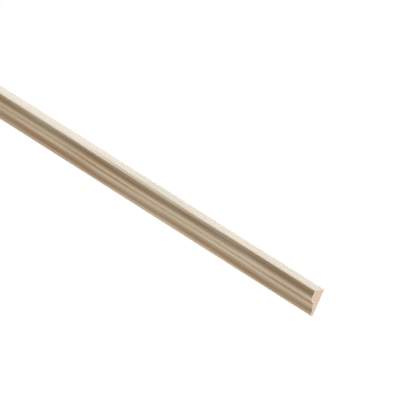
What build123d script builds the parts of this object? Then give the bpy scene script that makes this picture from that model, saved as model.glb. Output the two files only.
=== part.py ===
from build123d import *

import math
import os

# Torus moulding: one stick of softwood, run through a moulder to one section.
# It lies on its flat back. X runs along the stick, Y across it, Z up out of the wall.
# The thick edge is on the +Y side. The origin is the middle of the back.
# All sizes are in millimetres.

# Overall size of the stick
length = 2400.0
width = 20.0
thickness = 12.0

# Torus, the rounded member along the thick edge
torus_width = 9.65
crown_inset = 3.3
crown_radius = 13.5
nose_radius = 5.35

# Quirk, the narrow groove under the torus
quirk_width = 0.5
quirk_drop = 0.3
quirk_depth = 0.5

# Ogee, a small round above a long shallow hollow, that runs out to the margin
round_share = 0.05

# Margin, the thin edge that meets the wall; its top still slopes like the end of the hollow
margin_slope = 15.0
margin_height = 3.1
margin_flat = 0.3
margin_round = 1.1

# Softening that the planer and a rub of sandpaper leave on the long corners
face_arris = 0.6
back_arris = 0.15


def torus_centres():
    """Centres of the broad crown arc and of the tighter nose arc, which share a tangent."""
    crown = Vector(crown_inset, thickness - crown_radius)
    nose_inset = torus_width - nose_radius
    rise = math.sqrt((crown_radius - nose_radius) ** 2 - (nose_inset - crown_inset) ** 2)
    return crown, Vector(nose_inset, crown.Y + rise)


def ogee(run, drop):
    """Steepest angle and the two radii of the ogee that leaves the quirk level.

    The round and the hollow share a tangent, and the hollow ends at the margin's slope.
    """
    slope = math.radians(margin_slope)
    hollow_share = 1 - round_share
    level = run * (round_share + hollow_share * math.cos(slope)) + drop * hollow_share * math.sin(slope)
    steepest = math.atan2(drop, run) + math.acos(level / math.hypot(run, drop))
    radii = run / (math.sin(steepest) - hollow_share * math.sin(slope))
    return math.degrees(steepest), radii * round_share, radii * hollow_share


def section():
    """The moulded section: local X runs in from the thick edge, local Y up from the back."""
    crown, nose = torus_centres()
    arris_angle = math.degrees(math.acos(-crown_inset / crown_radius))
    join_angle = math.degrees(math.atan2(nose.Y - crown.Y, nose.X - crown.X))

    quirk_floor = nose.Y - quirk_drop
    ogee_start = Vector(torus_width + quirk_width, quirk_floor + quirk_depth)
    slope = math.radians(margin_slope)
    margin_end = Vector(width - margin_round * (1 - math.sin(slope)), margin_height)
    margin_start = margin_end + Vector(-math.cos(slope), math.sin(slope)) * margin_flat
    steepest, round_radius, hollow_radius = ogee(margin_start.X - ogee_start.X, ogee_start.Y - margin_start.Y)

    with BuildSketch() as profile:
        with BuildLine():
            crown_arc = CenterArc(crown, crown_radius, arris_angle, join_angle - arris_angle)
            nose_arc = CenterArc(nose, nose_radius, join_angle, -join_angle)
            Polyline(nose_arc @ 1, (torus_width, quirk_floor), (ogee_start.X, quirk_floor), ogee_start)
            round_arc = JernArc(ogee_start, (1, 0), round_radius, -steepest)
            hollow_arc = JernArc(round_arc @ 1, round_arc % 1, hollow_radius, steepest - margin_slope)
            margin = Line(hollow_arc @ 1, margin_end)
            edge_arc = JernArc(margin @ 1, margin % 1, margin_round, margin_slope - 90)
            Polyline(edge_arc @ 1, (width, 0), (0, 0), crown_arc @ 0)
        make_face()
        fillet(profile.vertices().sort_by_distance(crown_arc @ 0)[0], face_arris)
        fillet(profile.vertices().filter_by_position(Axis.Y, 0, 0), back_arris)
    return profile.sketch


def build_stick():
    """The section drawn at the sawn end on +X and carried the whole length of the stick."""
    near_end = Plane(origin=(length / 2, width / 2, 0), x_dir=(0, -1, 0), z_dir=(-1, 0, 0))
    return extrude(near_end * section(), amount=length)


os.makedirs("parts", exist_ok=True)
export_step(build_stick(), "parts/moulding.step")
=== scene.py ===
import math

import bmesh
import bpy
from mathutils import Matrix, Vector


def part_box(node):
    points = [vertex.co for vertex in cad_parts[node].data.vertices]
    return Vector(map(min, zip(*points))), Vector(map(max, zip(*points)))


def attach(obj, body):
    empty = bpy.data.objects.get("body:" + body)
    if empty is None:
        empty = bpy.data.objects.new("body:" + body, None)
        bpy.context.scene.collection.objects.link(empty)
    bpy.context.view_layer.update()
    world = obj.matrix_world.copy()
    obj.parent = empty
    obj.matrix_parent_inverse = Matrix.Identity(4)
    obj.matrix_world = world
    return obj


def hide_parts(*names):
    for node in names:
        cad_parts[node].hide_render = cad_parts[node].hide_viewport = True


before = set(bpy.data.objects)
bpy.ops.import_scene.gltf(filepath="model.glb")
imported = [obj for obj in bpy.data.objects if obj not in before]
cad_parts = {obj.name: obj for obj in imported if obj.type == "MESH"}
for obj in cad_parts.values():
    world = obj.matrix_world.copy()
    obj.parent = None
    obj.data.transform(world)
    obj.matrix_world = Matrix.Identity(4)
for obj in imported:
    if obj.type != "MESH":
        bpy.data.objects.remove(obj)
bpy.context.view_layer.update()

MM = 0.001

# The stick's own box, from the frame
STICK_LOW, STICK_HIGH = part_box("moulding")
HALF_LENGTH = STICK_HIGH.x
THICK_EDGE = STICK_HIGH.y
THIN_EDGE = STICK_LOW.y
CROWN = STICK_HIGH.z

# Section of the stick, in metres and radians
TORUS_WIDTH = 9.65 * MM
CROWN_INSET = 3.3 * MM
CROWN_RADIUS = 13.5 * MM
NOSE_RADIUS = 5.35 * MM
QUIRK_DROP = 0.3 * MM
QUIRK_DEPTH = 0.5 * MM
ROUND_SHARE = 0.05
MARGIN_SLOPE = math.radians(15)
MARGIN_HEIGHT = 3.1 * MM
MARGIN_FLAT = 0.3 * MM
MARGIN_ROUND = 1.1 * MM
BACK_ARRIS = 0.15 * MM
END_ARRIS = 0.12 * MM

# The quirk is cut 0.5 mm wide. Its shadow is less than a pixel wide and would break up into dots,
# so it is drawn narrower, with a bottom that turns through a quarter circle and a rounded lip.
QUIRK_WIDTH = 0.35 * MM
QUIRK_TURN = math.radians(90)
QUIRK_LIP = 0.06 * MM

# How the face arris is rubbed down along the stick: place, reach down the thick edge,
# reach over the face, and how far the rubbed surface turns between the two
ARRIS_STATIONS = (
    (HALF_LENGTH, 0.50 * MM, 0.55 * MM, math.radians(70)),
    (1.098, 0.50 * MM, 0.55 * MM, math.radians(70)),
    (1.086, 0.90 * MM, 0.85 * MM, math.radians(50)),
    (1.074, 1.40 * MM, 1.10 * MM, math.radians(30)),
    (1.000, 1.70 * MM, 1.20 * MM, math.radians(24)),
    (-HALF_LENGTH, 1.70 * MM, 1.20 * MM, math.radians(24)),
)

# Facets along the curves
CROWN_STEPS = 20
NOSE_STEPS = 24
QUIRK_STEPS = 8
LIP_STEPS = 6
ROUND_STEPS = 8
HOLLOW_STEPS = 12
MARGIN_STEPS = 8
ARRIS_STEPS = 8
BACK_STEPS = 3
SHARP_ANGLE = math.radians(30)
SAME_PLACE = 0.001 * MM

# The sawn ends take the second of the stick's two materials
SAWN = 1

# The camera: where it looks, from which side, and its lens
AIM = Vector((1.1090, 0.0309, 0.0385))
VIEW_AZIMUTH = math.radians(35.905)
VIEW_ELEVATION = math.radians(57.933)
VIEW_ROLL = math.radians(-98.319)
VIEW_DISTANCE = 3.336
LENS = 455.0
CLIP_END = 100.0

# Strength of the even light from all round
SKY_LIGHT = 0.25

# Two broad lights from far off: name, side and height in degrees, strength, breadth in degrees.
# The side turns from +X towards +Y.
LIGHTS = (
    ("key", 45, 6.5, 0.86, 10),
    ("fill", -90, 11, 0.79, 24),
)

# The floor: how far it reaches, how pale it is to the stick, and the glow and faint shadow that are seen
FLOOR_REACH = 60
FLOOR_PALE = (0.9, 0.9, 0.9, 1)
FLOOR_ROUGHNESS = 0.9
FLOOR_GLOW = 0.94
FLOOR_SHADOW = (0.14, 0.14, 0.14, 1)

# Linear colours of the wood. On the planed faces the tone runs from bleached sapwood at 0,
# over earlywood at its own place, to the brown heartwood at 1.
SAPWOOD = (0.853, 0.792, 0.685)
EARLYWOOD = (0.603, 0.468, 0.307)
HEARTWOOD = (0.436, 0.253, 0.125)
END_EARLYWOOD = (0.660, 0.550, 0.450)
END_LATEWOOD = (0.760, 0.505, 0.340)
# The sawn ends' paler rim: worn fibres, with a painted highlight along the cut's edge
END_RIM_WORN_AND_HIGHLIGHT = (0.765, 0.635, 0.500)
EARLYWOOD_PLACE = 0.6

# Surface of the planed faces and of the sawn ends
PLANED_ROUGHNESS = 0.56
FIBRE_ROUGHNESS = 0.16
PLANED_SHEEN = 0.25
PLANED_RELIEF = 0.04 * MM
SAWN_ROUGHNESS = 0.8
SAWN_SHEEN = 0.2
SAWN_RELIEF = 0.02 * MM

# Growth rings lie nearly flat in the stick, rise and fall a little along it, cup across it and wander.
# Heights and spacing are in mm, lengths along the stick in metres.
RING_SPACING = 2.8
RING_BASE = 3.6
RING_RISE = 0.3
RING_RISE_LENGTH = 0.14
RING_RISE_CREST = 1.105
RING_CUP = 0.004
RING_WANDER = 1.2
RING_WANDER_LENGTH = 0.09
RING_WANDER_WIDTH = 6 * MM
RING_WANDER_FINENESS = 2.0
RING_SHARPNESS = 1.3
EARLYWOOD_TONE = 0.46
LATEWOOD_TONE = 0.84

# Fibres of three sizes: name, length and width in metres, fineness, and an offset that sets them apart
FIBRES = (
    ("Broad", 0.16, 2.2 * MM, 3.0, (3, 1, 5)),
    ("Middle", 0.06, 0.8 * MM, 2.0, (7, 2, 4)),
    ("Fine", 0.03, 0.35 * MM, 3.0, (0, 0, 0)),
)

# What the fibres do on the planed faces: size, share in the tone, share in the lightness
PLANED_FIBRES = (
    ("Broad", 0.25, 0.0),
    ("Middle", 0.45, 0.25),
    ("Fine", 0.35, 0.30),
)

# The sapwood's boundary slants down into the stick from the face arris. Depth across the boundary is in
# mm and comes from these shares of the distance from the thick edge and of the height over the back.
SLANT_ACROSS = 0.943
SLANT_UP = 0.334
BOUNDARY_WANDER = 0.5

# Heartwood: a stretch along the stick, and at its two ends the depth where the wood starts to turn brown
# and how much deeper it is fully brown
HEART_STRETCH = (1.080, 1.125)
HEART_START = (3.6, 2.9)
HEART_REACH = (2.7, 1.9)

# Wood above the heartwood turns partly brown between two depths: its share at both ends of a stretch
HALF_BROWN_DEPTHS = (3.25, 3.65)
HALF_BROWN_STRETCH = (1.005, 1.050)
HALF_BROWN_SHARES = (0.08, 0.30)

# A thin dark line crosses the arris from the thick edge to the crown: its stretch, its depth at both ends,
# its half width in mm, its tone, and how far from its middle it is gone and is full, in metres
LINE_STRETCH = (1.009, 1.095)
LINE_DEPTHS = (3.45, 4.60)
LINE_HALF_WIDTH = 0.50
LINE_TONE = 0.48
LINE_MIDDLE = 1.050
LINE_GONE, LINE_FULL = 0.055, 0.030

# The sawn ends: how narrow the dark stripes are, the fibres' share in the tone, and the depths in mm under
# the moulded outline where the paler rim, worn fibres with a painted highlight, is gone and where it is full
END_RING_SHARPNESS = 1.6
END_FIBRE_TONE = 0.5
RIM_GONE, RIM_FULL = 1.9, 0.7

# Streaks that run with the grain over the moulded face: name, distance from the thick edge and
# half width in mm, from and to along the stick in m, added tone, added lightness. The added lightness
# is painted light and shade: lighter and darker bands that stand in for shading the lamps don't give.
# A streak that runs on to an end of the stick goes past it.
PAST_END = 2.0
STREAK_FADE = 0.015
STREAKS = (
    ("arris", 0.5, 0.9, -PAST_END, PAST_END, 0.15, 0.00),
    # painted light on the far arris
    ("worn far arris", 0.5, 0.8, -PAST_END, 1.020, 0.00, 0.10),
    # slightly browner wood with painted shade on the arris
    ("brown arris", 0.4, 0.8, 1.045, 1.090, 0.05, -0.10),
    ("arris near the end", 0.5, 0.9, 1.150, PAST_END, 0.05, -0.05),
    ("brown crown edge", 1.0, 1.1, -PAST_END, 1.000, 0.40, 0.00),
    ("bright crown edge", 1.4, 1.4, 1.045, 1.100, 0.10, 0.25),
    ("crown edge", 1.4, 1.4, 1.085, 1.160, 0.05, 0.10),
    # painted light on the far crown
    ("worn crown", 2.4, 1.2, -PAST_END, 0.970, 0.00, 0.20),
    ("brown crown", 3.1, 1.6, 0.975, 1.025, 0.15, -0.05),
    ("pale crown", 2.5, 1.3, 1.015, 1.055, -0.15, 0.05),
    ("crown", 2.7, 1.6, 1.075, PAST_END, 0.05, -0.15),
    ("dark crown", 2.9, 1.5, 1.085, 1.120, 0.10, -0.10),
    ("crown heart", 4.4, 1.8, -PAST_END, 1.125, 0.10, -0.05),
    ("grey crown heart", 4.4, 1.8, -PAST_END, 0.990, -0.05, -0.05),
    ("pale nose", 5.6, 2.0, 1.140, PAST_END, -0.25, 0.10),
    ("nose flank", 8.2, 1.6, -PAST_END, PAST_END, 0.00, -0.25),
    ("far nose flank", 7.6, 1.4, -PAST_END, 1.005, 0.05, -0.15),
    ("brown nose flank", 8.2, 1.6, 0.985, 1.020, 0.15, 0.00),
    ("end of the nose flank", 8.2, 1.5, 1.165, PAST_END, 0.10, -0.05),
    ("pale far quirk", 10.2, 1.6, -PAST_END, 0.990, -0.25, 0.00),
    ("pale quirk", 10.2, 1.6, 1.045, 1.160, -0.40, -0.05),
    ("brown quirk", 10.6, 0.9, 1.005, 1.060, 0.10, -0.05),
    ("under the quirk", 11.5, 1.1, -PAST_END, 1.110, -0.05, -0.15),
    ("pale line under the quirk", 12.0, 0.9, 1.020, PAST_END, -0.10, 0.05),
    ("bright line under the quirk", 12.3, 1.2, 1.010, 1.065, -0.05, 0.10),
    ("upper hollow", 14.3, 2.2, -PAST_END, PAST_END, 0.10, -0.15),
    ("brown upper hollow", 13.6, 1.8, -PAST_END, 1.005, 0.20, -0.05),
    ("shaded upper hollow", 13.4, 1.2, 1.065, 1.150, 0.05, -0.10),
    ("lower hollow", 16.2, 1.8, -PAST_END, PAST_END, 0.05, -0.15),
    ("brown lower hollow", 15.8, 1.6, 0.955, 1.000, 0.10, 0.00),
    ("lower hollow near the end", 15.2, 1.4, 1.145, PAST_END, 0.00, -0.10),
    ("far margin heart", 17.4, 1.5, 0.945, 1.025, 0.35, 0.15),
    ("pale margin", 17.6, 2.2, 1.020, 1.080, -0.05, 0.05),
    ("margin heart", 17.5, 1.4, 1.085, 1.165, 0.30, 0.15),
    ("margin", 18.5, 1.2, 1.020, PAST_END, 0.00, 0.20),
    ("grey margin", 18.6, 1.2, 1.020, 1.090, -0.10, -0.05),
    ("far thin edge", 19.6, 0.9, -PAST_END, 1.000, -0.10, -0.15),
    ("thin edge", 19.6, 0.9, 1.000, PAST_END, -0.10, 0.00),
)


def add_camera():
    back = Vector((
        math.cos(VIEW_ELEVATION) * math.cos(VIEW_AZIMUTH),
        math.cos(VIEW_ELEVATION) * math.sin(VIEW_AZIMUTH),
        math.sin(VIEW_ELEVATION),
    ))
    right = Vector((0, 0, 1)).cross(back).normalized()
    level = Matrix((right, back.cross(right), back)).transposed()
    camera = bpy.data.objects.new("camera", bpy.data.cameras.new("camera"))
    camera.data.lens = LENS
    camera.data.clip_end = CLIP_END
    turn = (level @ Matrix.Rotation(VIEW_ROLL, 3, "Z")).to_4x4()
    camera.matrix_world = Matrix.Translation(AIM + back * VIEW_DISTANCE) @ turn
    bpy.context.scene.collection.objects.link(camera)
    bpy.context.scene.camera = camera


def sweep_arc(bm, vertex, centre, angle, steps):
    """Turns a vertex about an axis along the stick and returns the vertex at the arc's end."""
    swept = bmesh.ops.spin(
        bm, geom=[vertex], cent=(vertex.co.x, *centre), axis=(1, 0, 0),
        angle=angle, steps=steps, use_duplicate=False,
    )
    return swept["geom_last"][0]


def run_to(bm, vertex, y, z):
    """Draws a straight side of the section from a vertex to a point."""
    end = bmesh.ops.extrude_vert_indiv(bm, verts=[vertex])["verts"][0]
    end.co = (vertex.co.x, y, z)
    return end


def torus_centres():
    """Centres of the crown arc and of the nose arc, as across and up."""
    crown = Vector((THICK_EDGE - CROWN_INSET, CROWN - CROWN_RADIUS))
    nose_y = THICK_EDGE - TORUS_WIDTH + NOSE_RADIUS
    rise = math.sqrt((CROWN_RADIUS - NOSE_RADIUS) ** 2 - (crown.x - nose_y) ** 2)
    return crown, Vector((nose_y, crown.y + rise))


def place_ogee():
    """Start of the ogee, start of the margin's rounding, the ogee's steepest slope, its upper radius."""
    nose = torus_centres()[1]
    start = Vector((THICK_EDGE - TORUS_WIDTH - QUIRK_WIDTH, nose.y - QUIRK_DROP + QUIRK_DEPTH))
    margin_end = Vector((THIN_EDGE + MARGIN_ROUND * (1 - math.sin(MARGIN_SLOPE)), MARGIN_HEIGHT))
    run = start.x - margin_end.x - MARGIN_FLAT * math.cos(MARGIN_SLOPE)
    drop = start.y - margin_end.y - MARGIN_FLAT * math.sin(MARGIN_SLOPE)
    hollow_share = 1 - ROUND_SHARE
    level = run * (ROUND_SHARE + hollow_share * math.cos(MARGIN_SLOPE))
    level += drop * hollow_share * math.sin(MARGIN_SLOPE)
    steepest = math.atan2(drop, run) + math.acos(level / math.hypot(run, drop))
    radii = run / (math.sin(steepest) - hollow_share * math.sin(MARGIN_SLOPE))
    return start, margin_end, steepest, radii * ROUND_SHARE


def hollow_circle():
    """Centre and radius of the ogee's long hollow, which ends on the margin's slope."""
    ogee_start, margin_end, steepest, round_radius = place_ogee()
    radius = round_radius * (1 - ROUND_SHARE) / ROUND_SHARE
    margin_start = margin_end + Vector((math.cos(MARGIN_SLOPE), math.sin(MARGIN_SLOPE))) * MARGIN_FLAT
    return margin_start + Vector((-math.sin(MARGIN_SLOPE), math.cos(MARGIN_SLOPE))) * radius, radius


def chord_centre(start, end, turn):
    """Centre of the arc that turns by the given angle from start to end and bulges outward."""
    half = (end - start) / 2
    return start + half + Vector((-half.y, half.x)) / math.tan(turn / 2)


def draw_section(bm, x, down, over, arris_turn):
    """The section at one place along the stick, from the thick edge over the moulded face to the back."""
    crown, nose = torus_centres()
    corner_z = crown.y + math.sqrt(CROWN_RADIUS ** 2 - CROWN_INSET ** 2)
    arris_start = Vector((THICK_EDGE, corner_z - down))
    over_z = crown.y + math.sqrt(CROWN_RADIUS ** 2 - (CROWN_INSET - over) ** 2)
    arris_end = Vector((THICK_EDGE - over, over_z))
    crown_turn = math.asin((CROWN_INSET - over) / CROWN_RADIUS)
    join = math.atan2(crown.x - nose.x, nose.y - crown.y)
    ogee_start, margin_end, steepest, round_radius = place_ogee()
    quirk_end = Vector((ogee_start.x, nose.y))
    lip_slope = math.asin(QUIRK_LIP / round_radius)
    lip_end = ogee_start - Vector((QUIRK_LIP, round_radius * (1 - math.cos(lip_slope))))
    lip_turn = QUIRK_TURN / 2 + lip_slope
    hollow_centre, hollow_radius = hollow_circle()
    edge_centre = margin_end + Vector((math.sin(MARGIN_SLOPE), -math.cos(MARGIN_SLOPE))) * MARGIN_ROUND

    start = bm.verts.new((x, THICK_EDGE, BACK_ARRIS))
    v = run_to(bm, start, *arris_start)
    v = sweep_arc(bm, v, chord_centre(arris_start, arris_end, arris_turn), arris_turn, ARRIS_STEPS)
    v = sweep_arc(bm, v, crown, crown_turn + join, CROWN_STEPS)
    v = sweep_arc(bm, v, nose, math.pi / 2 - join, NOSE_STEPS)
    v = sweep_arc(bm, v, chord_centre(v.co.yz, quirk_end, -QUIRK_TURN), -QUIRK_TURN, QUIRK_STEPS)
    v = sweep_arc(bm, v, chord_centre(quirk_end, lip_end, lip_turn), lip_turn, LIP_STEPS)
    v = sweep_arc(bm, v, ogee_start - Vector((0, round_radius)), steepest - lip_slope, ROUND_STEPS)
    v = sweep_arc(bm, v, hollow_centre, MARGIN_SLOPE - steepest, HOLLOW_STEPS)
    v = run_to(bm, v, *margin_end)
    v = sweep_arc(bm, v, edge_centre, math.pi / 2 - MARGIN_SLOPE, MARGIN_STEPS)
    v = run_to(bm, v, THIN_EDGE, BACK_ARRIS)
    v = sweep_arc(bm, v, (THIN_EDGE + BACK_ARRIS, BACK_ARRIS), math.pi / 2, BACK_STEPS)
    v = run_to(bm, v, THICK_EDGE - BACK_ARRIS, 0)
    sweep_arc(bm, v, (THICK_EDGE - BACK_ARRIS, BACK_ARRIS), math.pi / 2, BACK_STEPS)


def close_end(bm, edges, inward):
    """Fills one sawn end and takes the sharpness off its rim."""
    face = bmesh.ops.contextual_create(bm, geom=edges)["faces"][0]
    rim = list(face.verts)
    bmesh.ops.inset_region(bm, faces=[face], thickness=END_ARRIS, use_even_offset=True)
    face.material_index = SAWN
    bmesh.ops.translate(bm, verts=rim, vec=(inward * END_ARRIS, 0, 0))


def build_stick():
    bm = bmesh.new()
    rings = []
    for x, down, over, arris_turn in ARRIS_STATIONS:
        known = set(bm.edges)
        draw_section(bm, x, down, over, arris_turn)
        here = [v for v in bm.verts if abs(v.co.x - x) < MM]
        bmesh.ops.remove_doubles(bm, verts=here, dist=SAME_PLACE)
        rings.append([e for e in bm.edges if e not in known])
    for near, far in zip(rings, rings[1:]):
        bmesh.ops.bridge_loops(bm, edges=near + far)
    close_end(bm, rings[0], -1)
    close_end(bm, rings[-1], 1)
    bmesh.ops.recalc_face_normals(bm, faces=bm.faces[:])
    mesh = bpy.data.meshes.new("stick")
    bm.to_mesh(mesh)
    bm.free()
    mesh.shade_smooth()
    mesh.set_sharp_from_angle(angle=SHARP_ANGLE)
    stick = bpy.data.objects.new("stick", mesh)
    bpy.context.scene.collection.objects.link(stick)
    return stick


def new_group(name, inputs, outputs):
    """A node group with named sockets; returns its tree, its input node and its output node."""
    tree = bpy.data.node_groups.new(name, "ShaderNodeTree")
    for label in inputs:
        kind = "NodeSocketVector" if label == "Vector" else "NodeSocketFloat"
        tree.interface.new_socket(name=label, in_out="INPUT", socket_type=kind)
    for label in outputs:
        tree.interface.new_socket(name=label, in_out="OUTPUT", socket_type="NodeSocketFloat")
    return tree, tree.nodes.new("NodeGroupInput"), tree.nodes.new("NodeGroupOutput")


def feed(tree, socket, value):
    """Links a socket to another, or writes a number or vector into it."""
    if isinstance(value, bpy.types.NodeSocket):
        tree.links.new(value, socket)
    else:
        socket.default_value = value


def use_group(tree, group, **values):
    """Adds a group to a tree, feeds its sockets and returns the node."""
    node = tree.nodes.new("ShaderNodeGroup")
    node.node_tree = group
    for label, value in values.items():
        feed(tree, node.inputs[label.replace("_", " ")], value)
    return node


def calc(tree, operation, *values):
    """One Math node; returns its result."""
    node = tree.nodes.new("ShaderNodeMath")
    node.operation = operation
    for socket, value in zip(node.inputs, values):
        feed(tree, socket, value)
    return node.outputs[0]


def ease(tree, value, start, end, low=0.0, high=1.0):
    """A smooth step from low to high while the value goes from start to end."""
    node = tree.nodes.new("ShaderNodeMapRange")
    node.interpolation_type = "SMOOTHSTEP"
    for socket, given in zip(node.inputs, (value, start, end, low, high)):
        feed(tree, socket, given)
    return node.outputs[0]


def straight(tree, value, start, end, low, high):
    """A straight ramp from low to high, level before start and after end."""
    node = tree.nodes.new("ShaderNodeMapRange")
    for socket, given in zip(node.inputs, (value, start, end, low, high)):
        feed(tree, socket, given)
    return node.outputs[0]


def grain_noise(tree, vector, length, width, detail, offset):
    """Noise drawn out along the stick; the length and width of its patches are in metres."""
    stretch = tree.nodes.new("ShaderNodeMapping")
    feed(tree, stretch.inputs["Vector"], vector)
    stretch.inputs["Location"].default_value = offset
    stretch.inputs["Scale"].default_value = (1 / length, 1 / width, 1 / width)
    noise = tree.nodes.new("ShaderNodeTexNoise")
    tree.links.new(stretch.outputs[0], noise.inputs["Vector"])
    noise.inputs["Scale"].default_value = 1.0
    noise.inputs["Detail"].default_value = detail
    return noise.outputs["Fac"]


def make_place_group():
    """Where a point lies in the stick: metres along it, mm from its thick edge, mm up from its back."""
    tree, given, result = new_group("place in the stick", ["Vector"], ["Along", "From Edge", "Up"])
    split = tree.nodes.new("ShaderNodeSeparateXYZ")
    tree.links.new(given.outputs["Vector"], split.inputs[0])
    from_edge = calc(tree, "MULTIPLY", calc(tree, "SUBTRACT", THICK_EDGE, split.outputs["Y"]), 1 / MM)
    tree.links.new(split.outputs["X"], result.inputs["Along"])
    tree.links.new(from_edge, result.inputs["From Edge"])
    tree.links.new(calc(tree, "MULTIPLY", split.outputs["Z"], 1 / MM), result.inputs["Up"])
    return tree


def make_ring_group(place_group):
    """Growth rings: 1 on the dense latewood, 0 in the pale earlywood between."""
    tree, given, result = new_group("growth rings", ["Vector"], ["Latewood"])
    vector = given.outputs["Vector"]
    place = use_group(tree, place_group, Vector=vector).outputs
    past_crest = calc(tree, "SUBTRACT", place["Along"], RING_RISE_CREST)
    turn = calc(tree, "MULTIPLY", past_crest, math.tau / RING_RISE_LENGTH)
    rise = calc(tree, "MULTIPLY_ADD", calc(tree, "COSINE", turn), RING_RISE, RING_RISE)
    middle = calc(tree, "SUBTRACT", place["From Edge"], (THICK_EDGE - THIN_EDGE) / MM / 2)
    cup = calc(tree, "MULTIPLY", calc(tree, "MULTIPLY", middle, middle), RING_CUP)
    noise = grain_noise(tree, vector, RING_WANDER_LENGTH, RING_WANDER_WIDTH, RING_WANDER_FINENESS, (0, 0, 0))
    wander = calc(tree, "MULTIPLY_ADD", noise, RING_WANDER, -RING_WANDER / 2)
    height = calc(tree, "ADD", calc(tree, "SUBTRACT", place["Up"], calc(tree, "ADD", rise, cup)), wander)
    count = calc(tree, "DIVIDE", calc(tree, "SUBTRACT", height, RING_BASE), RING_SPACING)
    swing = calc(tree, "COSINE", calc(tree, "MULTIPLY", count, math.tau))
    wave = calc(tree, "MULTIPLY_ADD", swing, 0.5, 0.5)
    tree.links.new(calc(tree, "POWER", wave, RING_SHARPNESS), result.inputs["Latewood"])
    return tree


def distance_from(tree, from_edge, up, centre):
    """Distance in mm of a point, given in mm, from a centre, given as across and up in metres."""
    across = calc(tree, "SUBTRACT", from_edge, (THICK_EDGE - centre.x) / MM)
    up = calc(tree, "SUBTRACT", up, centre.y / MM)
    return calc(tree, "SQRT", calc(tree, "MULTIPLY_ADD", across, across, calc(tree, "MULTIPLY", up, up)))


def make_depth_group(place_group):
    """How many mm a point lies under the moulded outline: under the crown, the nose or the hollow.

    Below the nose the outline has turned into the quirk, so the depth grows on down from there.
    """
    tree, given, result = new_group("depth under the face", ["Vector"], ["Depth"])
    place = use_group(tree, place_group, Vector=given.outputs["Vector"]).outputs
    crown, nose = torus_centres()
    hollow, hollow_radius = hollow_circle()
    to_crown = distance_from(tree, place["From Edge"], place["Up"], crown)
    under_crown = calc(tree, "SUBTRACT", CROWN_RADIUS / MM, to_crown)
    nose_up = calc(tree, "MAXIMUM", place["Up"], nose.y / MM)
    below_nose = calc(tree, "SUBTRACT", nose_up, place["Up"])
    reach = distance_from(tree, place["From Edge"], nose_up, nose)
    under_nose = calc(tree, "ADD", calc(tree, "SUBTRACT", NOSE_RADIUS / MM, reach), below_nose)
    to_hollow = distance_from(tree, place["From Edge"], place["Up"], hollow)
    under_hollow = calc(tree, "SUBTRACT", to_hollow, hollow_radius / MM)
    past_crown = calc(tree, "GREATER_THAN", place["From Edge"], (THICK_EDGE - nose.x) / MM)
    past_torus = calc(tree, "GREATER_THAN", place["From Edge"], TORUS_WIDTH / MM)
    depth = straight(tree, past_crown, 0, 1, under_crown, under_nose)
    tree.links.new(straight(tree, past_torus, 0, 1, depth, under_hollow), result.inputs["Depth"])
    return tree


def make_fibre_group():
    """Fibres along the stick: bands of a few mm, threads of about one, and hairs of a fraction."""
    tree, given, result = new_group("fibres", ["Vector"], [fibre[0] for fibre in FIBRES])
    for name, length, width, detail, offset in FIBRES:
        noise = grain_noise(tree, given.outputs["Vector"], length, width, detail, offset)
        tree.links.new(noise, result.inputs[name])
    return tree


def make_streak_group():
    """One streak along the grain: full at its centre line, faded out over its width and at its ends."""
    tree, given, result = new_group(
        "streak", ["Across", "Along", "Centre", "Half Width", "Start", "End"], ["Amount"])
    here = given.outputs
    off = calc(tree, "ABSOLUTE", calc(tree, "SUBTRACT", here["Across"], here["Centre"]))
    body = ease(tree, calc(tree, "DIVIDE", off, here["Half Width"]), 1.0, 0.0)
    after = ease(tree, calc(tree, "SUBTRACT", here["Along"], here["Start"]), -STREAK_FADE, STREAK_FADE)
    before = ease(tree, calc(tree, "SUBTRACT", here["End"], here["Along"]), -STREAK_FADE, STREAK_FADE)
    amount = calc(tree, "MULTIPLY", body, calc(tree, "MULTIPLY", after, before))
    tree.links.new(amount, result.inputs["Amount"])
    return tree


def mix_colour(tree, factor, first, second):
    node = tree.nodes.new("ShaderNodeMix")
    node.data_type = "RGBA"
    colours = [i for i in node.inputs if i.type == "RGBA"]
    feed(tree, node.inputs["Factor"], factor)
    for socket, value in zip(colours, (first, second)):
        feed(tree, socket, value if isinstance(value, bpy.types.NodeSocket) else (*value, 1))
    return [o for o in node.outputs if o.type == "RGBA"][0]


def start_material(name):
    """A new material with its tree and its shader."""
    material = bpy.data.materials.new(name)
    material.use_nodes = True
    return material, material.node_tree, material.node_tree.nodes["Principled BSDF"]


def object_place(tree):
    """Where a point lies in the object's own coordinates."""
    return tree.nodes.new("ShaderNodeTexCoord").outputs["Object"]


def add_bump(tree, shader, height, depth):
    bump = tree.nodes.new("ShaderNodeBump")
    bump.inputs["Distance"].default_value = depth
    feed(tree, bump.inputs["Height"], height)
    tree.links.new(bump.outputs[0], shader.inputs["Normal"])


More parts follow.
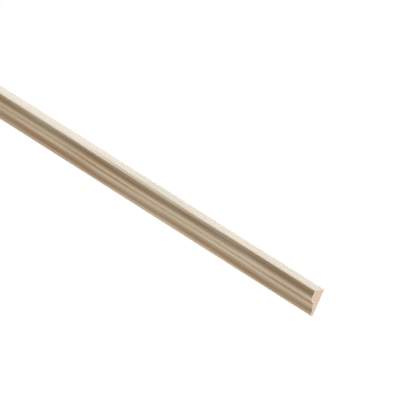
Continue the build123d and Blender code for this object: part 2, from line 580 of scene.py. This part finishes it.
def make_planed_pine(place_group, ring_group, fibre_group, streak_group):
    """The long faces: sapwood on the thick edge, ringed heartwood over the moulded face, and streaks of
    painted light and shade.
    """
    material, tree, shader = start_material("planed pine")
    vector = object_place(tree)
    place = use_group(tree, place_group, Vector=vector).outputs
    fibres = use_group(tree, fibre_group, Vector=vector).outputs
    rings = use_group(tree, ring_group, Vector=vector).outputs["Latewood"]
    wander = calc(tree, "MULTIPLY_ADD", fibres["Broad"], BOUNDARY_WANDER, -BOUNDARY_WANDER / 2)
    across = calc(tree, "ADD", place["From Edge"], wander)

    tone = calc(tree, "MULTIPLY_ADD", rings, LATEWOOD_TONE - EARLYWOOD_TONE, EARLYWOOD_TONE)
    # The lightness carries the streaks' painted light and shade and the fibres' lighter and darker grain
    painted_light_and_grain = 1.0
    for name, centre, half_width, start, end, added_tone, painted_light in STREAKS:
        streak = use_group(tree, streak_group, Across=across, Along=place["Along"], Centre=centre,
                           Half_Width=half_width, Start=start, End=end)
        streak.label = name
        tone = calc(tree, "MULTIPLY_ADD", streak.outputs["Amount"], added_tone, tone)
        painted_light_and_grain = calc(tree, "MULTIPLY_ADD", streak.outputs["Amount"], painted_light, painted_light_and_grain)

    # Brown wood lies below the sapwood's slanting boundary
    along = place["Along"]
    height_share = calc(tree, "MULTIPLY", place["Up"], SLANT_UP)
    depth = calc(tree, "MULTIPLY_ADD", place["From Edge"], SLANT_ACROSS, height_share)
    depth = calc(tree, "ADD", wander, depth)
    past_start = calc(tree, "SUBTRACT", depth, straight(tree, along, *HEART_STRETCH, *HEART_START))
    heart = ease(tree, past_start, 0.0, straight(tree, along, *HEART_STRETCH, *HEART_REACH))
    brown_share = straight(tree, along, *HALF_BROWN_STRETCH, *HALF_BROWN_SHARES)
    half_brown = ease(tree, depth, *HALF_BROWN_DEPTHS, 0.0, brown_share)
    tone = calc(tree, "MULTIPLY", tone, calc(tree, "MAXIMUM", heart, half_brown))

    # The thin dark line across the arris
    line_depth = straight(tree, along, *LINE_STRETCH, *LINE_DEPTHS)
    off_line = calc(tree, "ABSOLUTE", calc(tree, "SUBTRACT", depth, line_depth))
    off_middle = calc(tree, "ABSOLUTE", calc(tree, "SUBTRACT", along, LINE_MIDDLE))
    line_body = ease(tree, off_line, LINE_HALF_WIDTH, 0.0)
    dark_line = calc(tree, "MULTIPLY", line_body, ease(tree, off_middle, LINE_GONE, LINE_FULL))
    tone = calc(tree, "MULTIPLY_ADD", dark_line, LINE_TONE, tone)

    # The fibres darken and lighten everything else
    for name, tone_share, light_share in PLANED_FIBRES:
        grain = calc(tree, "SUBTRACT", fibres[name], 0.5)
        tone = calc(tree, "MULTIPLY_ADD", grain, tone_share, tone)
        painted_light_and_grain = calc(tree, "MULTIPLY_ADD", grain, light_share, painted_light_and_grain)

    pale = mix_colour(tree, straight(tree, tone, 0, EARLYWOOD_PLACE, 0, 1), SAPWOOD, EARLYWOOD)
    colour = mix_colour(tree, straight(tree, tone, EARLYWOOD_PLACE, 1, 0, 1), pale, HEARTWOOD)
    scaled = tree.nodes.new("ShaderNodeVectorMath")
    scaled.operation = "SCALE"
    tree.links.new(colour, scaled.inputs[0])
    feed(tree, scaled.inputs["Scale"], painted_light_and_grain)
    tree.links.new(scaled.outputs[0], shader.inputs["Base Color"])
    roughness = calc(tree, "MULTIPLY_ADD", fibres["Fine"], FIBRE_ROUGHNESS, PLANED_ROUGHNESS)
    tree.links.new(roughness, shader.inputs["Roughness"])
    shader.inputs["Specular IOR Level"].default_value = PLANED_SHEEN
    add_bump(tree, shader, fibres["Fine"], PLANED_RELIEF)
    return material


def make_sawn_pine(ring_group, fibre_group, depth_group):
    """The sawn ends: rings as stripes along the back, and a paler rim at the moulded outline: worn fibres
    with a painted highlight.
    """
    material, tree, shader = start_material("sawn pine")
    vector = object_place(tree)
    fibres = use_group(tree, fibre_group, Vector=vector).outputs
    rings = use_group(tree, ring_group, Vector=vector).outputs["Latewood"]
    tone = calc(tree, "POWER", rings, END_RING_SHARPNESS)
    for name in ("Middle", "Fine"):
        grain = calc(tree, "SUBTRACT", fibres[name], 0.5)
        tone = calc(tree, "MULTIPLY_ADD", grain, END_FIBRE_TONE, tone)
    # The paler rim: worn fibres with a painted highlight along the moulded outline
    rim = ease(tree, use_group(tree, depth_group, Vector=vector).outputs["Depth"], RIM_GONE, RIM_FULL)
    wood = mix_colour(tree, tone, END_EARLYWOOD, END_LATEWOOD)
    tree.links.new(mix_colour(tree, rim, wood, END_RIM_WORN_AND_HIGHLIGHT), shader.inputs["Base Color"])
    shader.inputs["Roughness"].default_value = SAWN_ROUGHNESS
    shader.inputs["Specular IOR Level"].default_value = SAWN_SHEEN
    add_bump(tree, shader, fibres["Fine"], SAWN_RELIEF)
    return material


def seen_by_eye(tree):
    """1 for rays that come from the camera, a reflection or clear material, 0 for the others."""
    path = tree.nodes.new("ShaderNodeLightPath").outputs
    sharp = calc(tree, "ADD", path["Is Glossy Ray"], path["Is Transmission Ray"])
    return calc(tree, "MINIMUM", calc(tree, "ADD", path["Is Camera Ray"], sharp), 1.0)


def make_floor_material():
    """Pale floor that reads white to the camera and in reflections, and keeps a soft shadow."""
    material, tree, shader = start_material("floor")
    shader.inputs["Base Color"].default_value = FLOOR_PALE
    shader.inputs["Roughness"].default_value = FLOOR_ROUGHNESS
    shadow = tree.nodes.new("ShaderNodeBsdfDiffuse")
    shadow.inputs["Color"].default_value = FLOOR_SHADOW
    glow = tree.nodes.new("ShaderNodeEmission")
    glow.inputs["Strength"].default_value = FLOOR_GLOW
    seen = tree.nodes.new("ShaderNodeAddShader")
    tree.links.new(shadow.outputs[0], seen.inputs[0])
    tree.links.new(glow.outputs[0], seen.inputs[1])
    choose = tree.nodes.new("ShaderNodeMixShader")
    tree.links.new(seen_by_eye(tree), choose.inputs["Fac"])
    tree.links.new(shader.outputs[0], choose.inputs[1])
    tree.links.new(seen.outputs[0], choose.inputs[2])
    tree.links.new(choose.outputs[0], tree.nodes["Material Output"].inputs["Surface"])
    return material


def add_floor():
    bm = bmesh.new()
    bmesh.ops.create_grid(bm, x_segments=1, y_segments=1, size=FLOOR_REACH)
    mesh = bpy.data.meshes.new("floor")
    bm.to_mesh(mesh)
    bm.free()
    floor = bpy.data.objects.new("floor", mesh)
    bpy.context.scene.collection.objects.link(floor)
    floor.data.materials.append(make_floor_material())


def make_world():
    """White to the eye, a soft even light on the object."""
    world = bpy.data.worlds.new("world")
    world.use_nodes = True
    tree = world.node_tree
    sky = tree.nodes["Background"]
    sky.inputs["Color"].default_value = (1, 1, 1, 1)
    strength = calc(tree, "MULTIPLY_ADD", seen_by_eye(tree), 1 - SKY_LIGHT, SKY_LIGHT)
    tree.links.new(strength, sky.inputs["Strength"])
    bpy.context.scene.world = world


def add_light(name, side, height, strength, breadth):
    lamp = bpy.data.lights.new(name, "SUN")
    lamp.energy = strength * math.pi
    lamp.angle = math.radians(breadth)
    holder = bpy.data.objects.new(name, lamp)
    side, height = math.radians(side), math.radians(height)
    level = math.cos(height)
    back = Vector((level * math.cos(side), level * math.sin(side), math.sin(height)))
    holder.rotation_euler = back.to_track_quat("Z", "Y").to_euler()
    bpy.context.scene.collection.objects.link(holder)


add_camera()
place_group = make_place_group()
ring_group = make_ring_group(place_group)
fibre_group = make_fibre_group()
stick = build_stick()
planed_pine = make_planed_pine(place_group, ring_group, fibre_group, make_streak_group())
sawn_pine = make_sawn_pine(ring_group, fibre_group, make_depth_group(place_group))
stick.data.materials.append(planed_pine)
stick.data.materials.append(sawn_pine)
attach(stick, "root")
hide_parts("moulding")

add_floor()
make_world()
for name, side, height, strength, breadth in LIGHTS:
    add_light(name, side, height, strength, breadth)
bpy.context.scene.view_settings.view_transform = "Standard"
